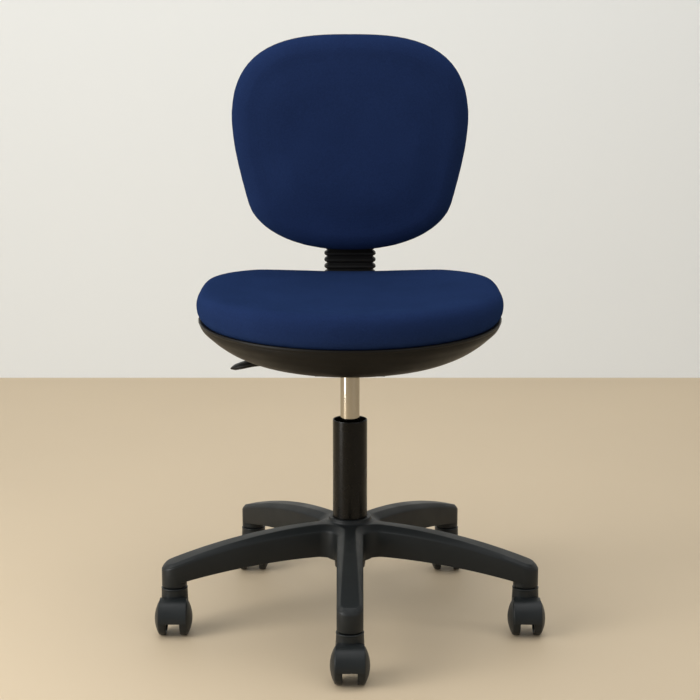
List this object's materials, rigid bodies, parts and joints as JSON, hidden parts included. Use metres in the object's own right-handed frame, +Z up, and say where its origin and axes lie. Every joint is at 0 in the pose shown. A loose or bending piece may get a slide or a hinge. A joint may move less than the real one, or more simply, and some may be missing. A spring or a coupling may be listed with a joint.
{
  "type": "swivel office chair",
  "caption": "Armless swivel chair: upholstered seat and back on a sleeved bar, height lever, gas column, and a star base with twin-wheel casters.",
  "frame": {"origin": "on the floor, under the axis of the gas column", "axes": "+Z up, the chair faces -Y, +X is the sitter's left"},
  "size_m": [0.5532, 0.6145, 0.8407],
  "materials": {
    "base_nylon": "satin",
    "caster_nylon": "satin",
    "steel": "satin",
    "black_paint": "satin",
    "bushing_plastic": "matte",
    "chrome": "polished",
    "shell_plastic": "satin",
    "navy_fabric": "matte",
    "plywood": "matte",
    "black_rubber": "matte"
  },
  "bodies": {
    "base": {"base_star": "base_nylon", "hub_sleeve": "steel", "outer_column": "black_paint", "column_bushing": "bushing_plastic", "thrust_bearing": "steel", "rod_clip": "steel"},
    "rod": {"piston_rod": "chrome"},
    "seat": {"gas_cylinder": "chrome", "seat_mechanism": "black_paint", "lever_pin": "steel", "seat_board": "plywood", "seat_cushion": "navy_fabric", "seat_shell": "shell_plastic", "seat_bolt_1": "steel", "seat_bolt_2": "steel", "seat_bolt_3": "steel", "seat_bolt_4": "steel"},
    "button": {"valve_button": "steel"},
    "lever": {"height_lever": "steel", "lever_paddle": "shell_plastic"},
    "bar": {"back_bar": "black_paint", "bellows": "black_rubber"},
    "depth_clamp": {"depth_knob": "shell_plastic"},
    "backrest": {"back_board": "plywood", "back_cushion": "navy_fabric", "back_shell": "shell_plastic", "back_bracket": "steel", "back_bolt_1": "steel", "back_bolt_2": "steel", "back_bolt_3": "steel", "back_bolt_4": "steel"},
    "height_clamp": {"height_knob": "shell_plastic"},
    "caster_1": {"caster_hood_1": "caster_nylon", "caster_stem_1": "steel", "caster_axle_1": "steel"},
    "left_wheel_1": {"wheel_left_1": "caster_nylon"},
    "right_wheel_1": {"wheel_right_1": "caster_nylon"},
    "caster_2": {"caster_hood_2": "caster_nylon", "caster_stem_2": "steel", "caster_axle_2": "steel"},
    "left_wheel_2": {"wheel_left_2": "caster_nylon"},
    "right_wheel_2": {"wheel_right_2": "caster_nylon"},
    "caster_3": {"caster_hood_3": "caster_nylon", "caster_stem_3": "steel", "caster_axle_3": "steel"},
    "left_wheel_3": {"wheel_left_3": "caster_nylon"},
    "right_wheel_3": {"wheel_right_3": "caster_nylon"},
    "caster_4": {"caster_hood_4": "caster_nylon", "caster_stem_4": "steel", "caster_axle_4": "steel"},
    "left_wheel_4": {"wheel_left_4": "caster_nylon"},
    "right_wheel_4": {"wheel_right_4": "caster_nylon"},
    "caster_5": {"caster_hood_5": "caster_nylon", "caster_stem_5": "steel", "caster_axle_5": "steel"},
    "left_wheel_5": {"wheel_left_5": "caster_nylon"},
    "right_wheel_5": {"wheel_right_5": "caster_nylon"}
  },
  "joints": [
    {"name": "seat_swivel", "type": "hinge", "parent": "base", "child": "rod", "pos_m": [0, 0, 0.08], "axis": [0, 0, 1], "continuous": true},
    {"name": "height_lift", "type": "slide", "parent": "rod", "child": "seat", "axis": [0, 0, 1], "range_m": [-0.055, 0.045]},
    {"name": "lever_lift", "type": "hinge", "parent": "seat", "child": "lever", "pos_m": [-0.034, 0, 0.384], "axis": [0, 1, 0], "range_deg": [0, 4.5], "stiffness_Nm_per_rad": 4},
    {"name": "button_press", "type": "slide", "parent": "seat", "child": "button", "axis": [0, 0, 1], "range_m": [-0.0027, 0]},
    {"name": "back_depth", "type": "slide", "parent": "seat", "child": "bar", "axis": [0, 1, 0], "range_m": [0, 0.045]},
    {"name": "depth_knob_turn", "type": "hinge", "parent": "seat", "child": "depth_clamp", "pos_m": [0, 0.0775, 0.345], "axis": [0, 0, 1], "range_deg": [0, 180]},
    {"name": "back_height", "type": "slide", "parent": "bar", "child": "backrest", "axis": [0, 0, 1], "range_m": [0, 0.06], "deforming": ["bellows"]},
    {"name": "height_knob_turn", "type": "hinge", "parent": "backrest", "child": "height_clamp", "pos_m": [0, 0.285, 0.6], "axis": [0, 1, 0], "range_deg": [0, 180]},
    {"name": "caster_swivel_1", "type": "hinge", "parent": "base", "child": "caster_1", "pos_m": [0, -0.263, 0.066], "axis": [0, 0, 1], "continuous": true},
    {"name": "left_roll_1", "type": "hinge", "parent": "caster_1", "child": "left_wheel_1", "pos_m": [0, -0.283, 0.025], "axis": [1, 0, 0], "continuous": true},
    {"name": "right_roll_1", "type": "hinge", "parent": "caster_1", "child": "right_wheel_1", "pos_m": [0, -0.283, 0.025], "axis": [1, 0, 0], "continuous": true},
    {"name": "caster_swivel_2", "type": "hinge", "parent": "base", "child": "caster_2", "pos_m": [0.25013, -0.08127, 0.066], "axis": [0, 0, 1], "continuous": true},
    {"name": "left_roll_2", "type": "hinge", "parent": "caster_2", "child": "left_wheel_2", "pos_m": [0.25013, -0.10127, 0.025], "axis": [1, 0, 0], "continuous": true},
    {"name": "right_roll_2", "type": "hinge", "parent": "caster_2", "child": "right_wheel_2", "pos_m": [0.25013, -0.10127, 0.025], "axis": [1, 0, 0], "continuous": true},
    {"name": "caster_swivel_3", "type": "hinge", "parent": "base", "child": "caster_3", "pos_m": [0.15459, 0.21277, 0.066], "axis": [0, 0, 1], "continuous": true},
    {"name": "left_roll_3", "type": "hinge", "parent": "caster_3", "child": "left_wheel_3", "pos_m": [0.15459, 0.19277, 0.025], "axis": [1, 0, 0], "continuous": true},
    {"name": "right_roll_3", "type": "hinge", "parent": "caster_3", "child": "right_wheel_3", "pos_m": [0.15459, 0.19277, 0.025], "axis": [1, 0, 0], "continuous": true},
    {"name": "caster_swivel_4", "type": "hinge", "parent": "base", "child": "caster_4", "pos_m": [-0.15459, 0.21277, 0.066], "axis": [0, 0, 1], "continuous": true},
    {"name": "left_roll_4", "type": "hinge", "parent": "caster_4", "child": "left_wheel_4", "pos_m": [-0.15459, 0.19277, 0.025], "axis": [1, 0, 0], "continuous": true},
    {"name": "right_roll_4", "type": "hinge", "parent": "caster_4", "child": "right_wheel_4", "pos_m": [-0.15459, 0.19277, 0.025], "axis": [1, 0, 0], "continuous": true},
    {"name": "caster_swivel_5", "type": "hinge", "parent": "base", "child": "caster_5", "pos_m": [-0.25013, -0.08127, 0.066], "axis": [0, 0, 1], "continuous": true},
    {"name": "left_roll_5", "type": "hinge", "parent": "caster_5", "child": "left_wheel_5", "pos_m": [-0.25013, -0.10127, 0.025], "axis": [1, 0, 0], "continuous": true},
    {"name": "right_roll_5", "type": "hinge", "parent": "caster_5", "child": "right_wheel_5", "pos_m": [-0.25013, -0.10127, 0.025], "axis": [1, 0, 0], "continuous": true}
  ],
  "couplings": [
    {"joint": "button_press", "follows": "lever_lift", "m_per_rad": -0.0343}
  ]
}
